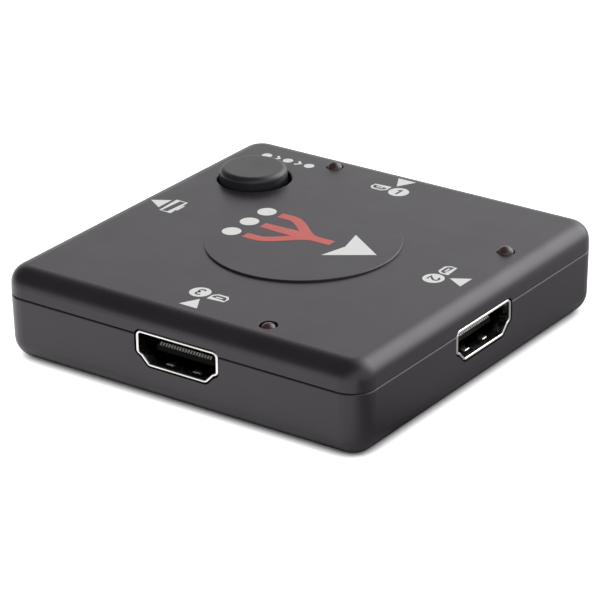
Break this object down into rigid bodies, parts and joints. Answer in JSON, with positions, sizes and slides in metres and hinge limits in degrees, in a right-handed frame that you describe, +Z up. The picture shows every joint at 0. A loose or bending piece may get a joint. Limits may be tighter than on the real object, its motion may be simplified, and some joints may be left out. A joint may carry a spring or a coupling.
{
  "type": "video input switch box",
  "caption": "Flat square box with a video socket in each side, a round push button that selects which input goes to the output, and a lamp for each input.",
  "frame": {"origin": "middle of the flat underside", "axes": "+X to the right along the front face, whose socket is input 3; +Y to the back face, whose socket is input 1; +Z up"},
  "size_m": [0.065, 0.065, 0.0168],
  "materials": {
    "case_plastic": "satin, very fine moulded grain",
    "button_plastic": "satin",
    "socket_metal": "bright nickel plate",
    "socket_plastic": "semi-gloss black",
    "contact_metal": "dull flash plate",
    "screw_steel": "zinc plate",
    "board": "green solder mask",
    "switch_metal": "plain",
    "switch_plastic": "matte black",
    "lamp_lens": "clear tinted resin",
    "lead_metal": "tinned",
    "chip_plastic": "matte black",
    "resistor_body": "black with tinned ends",
    "capacitor_body": "tan ceramic"
  },
  "bodies": {
    "case": {"top_cover": "case_plastic", "bottom_cover": "case_plastic", "case_screws": "screw_steel", "circuit_board": "board", "input_1_shell": "socket_metal", "input_1_insulator": "socket_plastic", "input_1_contacts": "contact_metal", "input_2_shell": "socket_metal", "input_2_insulator": "socket_plastic", "input_2_contacts": "contact_metal", "input_3_shell": "socket_metal", "input_3_insulator": "socket_plastic", "input_3_contacts": "contact_metal", "output_shell": "socket_metal", "output_insulator": "socket_plastic", "output_contacts": "contact_metal", "switch_base": "switch_plastic", "switch_cover": "switch_metal", "switch_dome": "switch_metal", "switch_terminals": "lead_metal", "led_1_lens": "lamp_lens", "led_1_leads": "lead_metal", "led_2_lens": "lamp_lens", "led_2_leads": "lead_metal", "led_3_lens": "lamp_lens", "led_3_leads": "lead_metal", "main_chip": "chip_plastic", "main_chip_leads": "lead_metal", "control_chip": "chip_plastic", "voltage_regulator": "chip_plastic", "protection_arrays": "chip_plastic", "resistors": "resistor_body", "capacitors": "capacitor_body", "power_diodes": "chip_plastic"},
    "select": {"select_button": "button_plastic"},
    "plunger": {"switch_plunger": "switch_plastic"}
  },
  "joints": [
    {"name": "select_press", "type": "slide", "parent": "case", "child": "select", "axis": [0, 0, -1], "range_m": [0, 0.0003], "stiffness_N_per_m": 5000},
    {"name": "plunger_press", "type": "slide", "parent": "case", "child": "plunger", "axis": [0, 0, -1], "range_m": [0, 0.0003], "deforming": ["switch_dome"]}
  ],
  "couplings": [
    {"joint": "plunger_press", "follows": "select_press", "ratio": 1}
  ]
}
